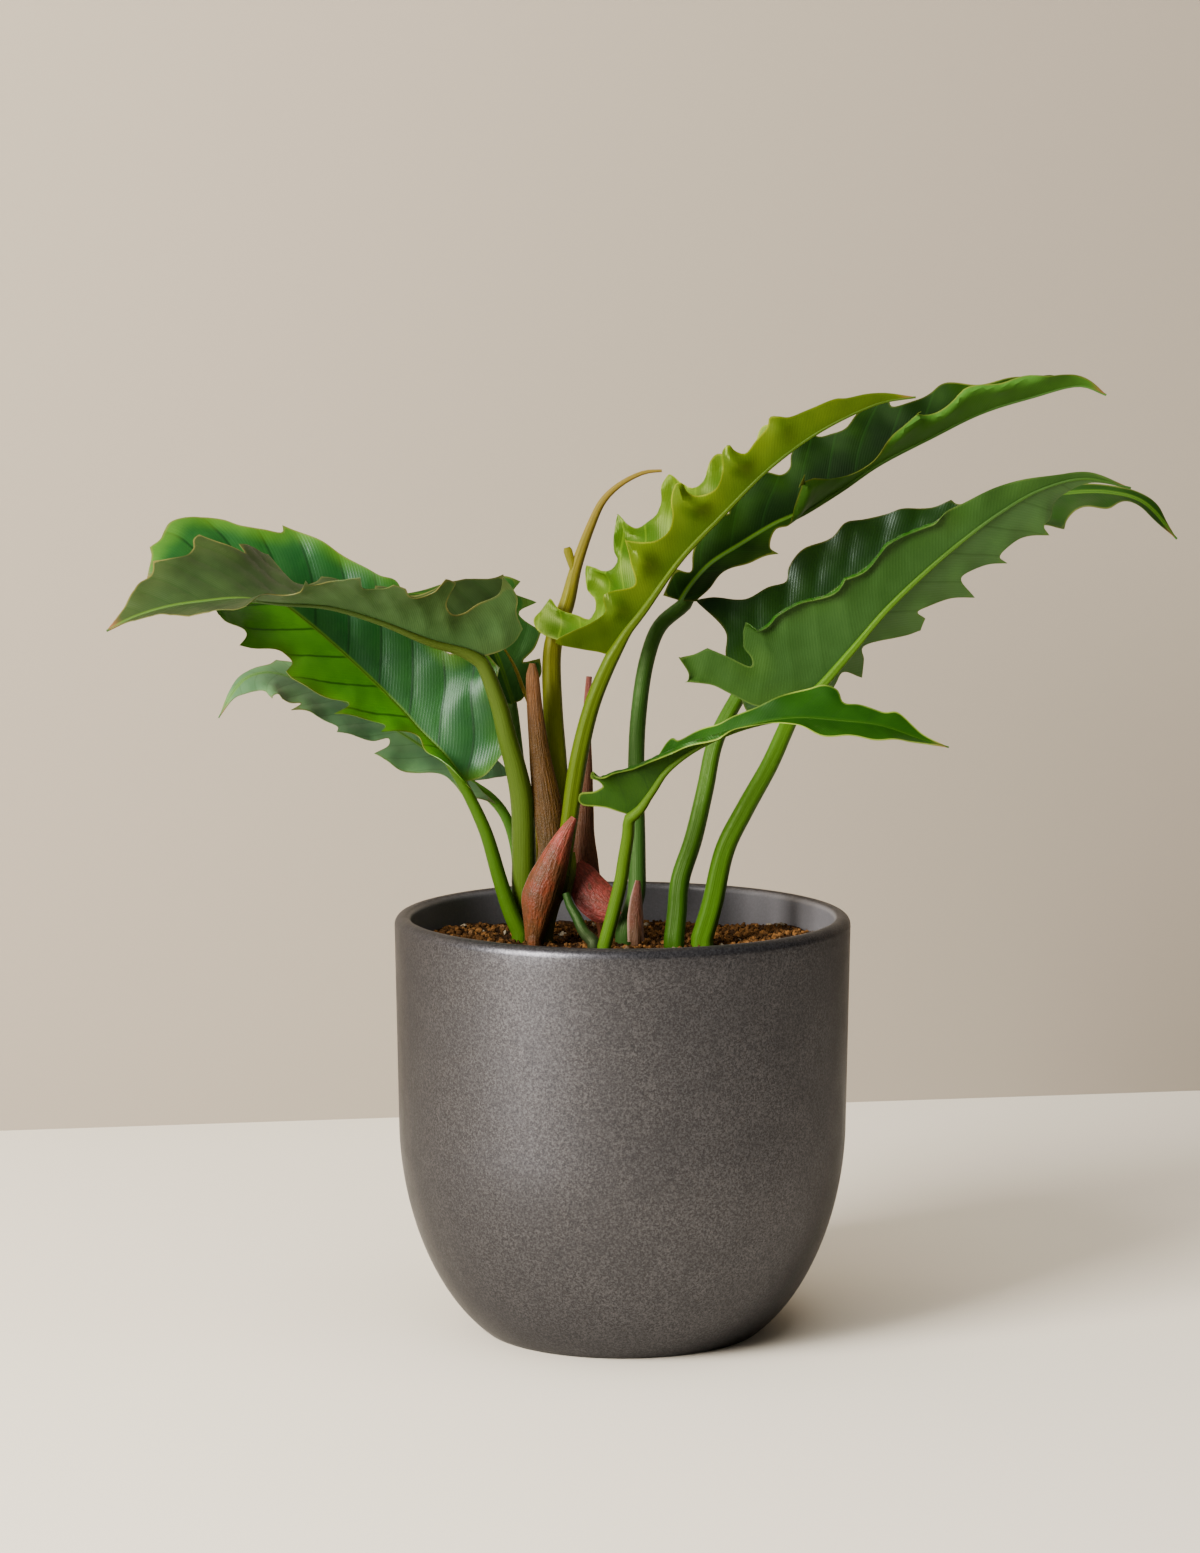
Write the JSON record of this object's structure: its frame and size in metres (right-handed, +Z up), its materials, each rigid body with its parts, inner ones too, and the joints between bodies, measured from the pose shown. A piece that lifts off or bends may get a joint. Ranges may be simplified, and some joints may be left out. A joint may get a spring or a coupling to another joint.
{
  "type": "potted philodendron",
  "caption": "Young philodendron with arching, toothed leaves in a round stoneware pot filled with potting mix.",
  "frame": {"origin": "centre of the pot's flat base, on the surface that it stands on", "axes": "+Z up, the plant fans out to -X and +X, and -Y is the side that the plant is seen from"},
  "size_m": [0.4683, 0.2, 0.4191],
  "materials": {
    "pot": "satin",
    "soil": "matte",
    "stem": "matte",
    "stem_dark": "satin",
    "shoot": "satin",
    "leaf_olive": "satin",
    "leaf_bright": "satin",
    "leaf_green": "satin",
    "leaf_dark": "satin",
    "leaf_new": "satin",
    "sheath_pink": "satin",
    "sheath_brown": "satin"
  },
  "bodies": {
    "root": {"pot": "pot", "soil": "soil", "crown_stem": "stem", "leaf_left_arching": "leaf_olive", "leaf_left_glossy": "leaf_bright", "leaf_left_low": "leaf_green", "leaf_left_back": "leaf_dark", "leaf_new_ruffled": "leaf_new", "leaf_rolled": "leaf_new", "leaf_right_back": "leaf_dark", "leaf_right_big": "leaf_green", "leaf_right_far": "leaf_dark", "leaf_right_small": "leaf_green", "petiole_stub": "stem_dark", "shoot_tip": "shoot", "sheath_front": "sheath_pink", "sheath_back": "sheath_pink", "sheath_small": "sheath_pink", "sheath_tall": "sheath_brown"}
  },
  "joints": []
}
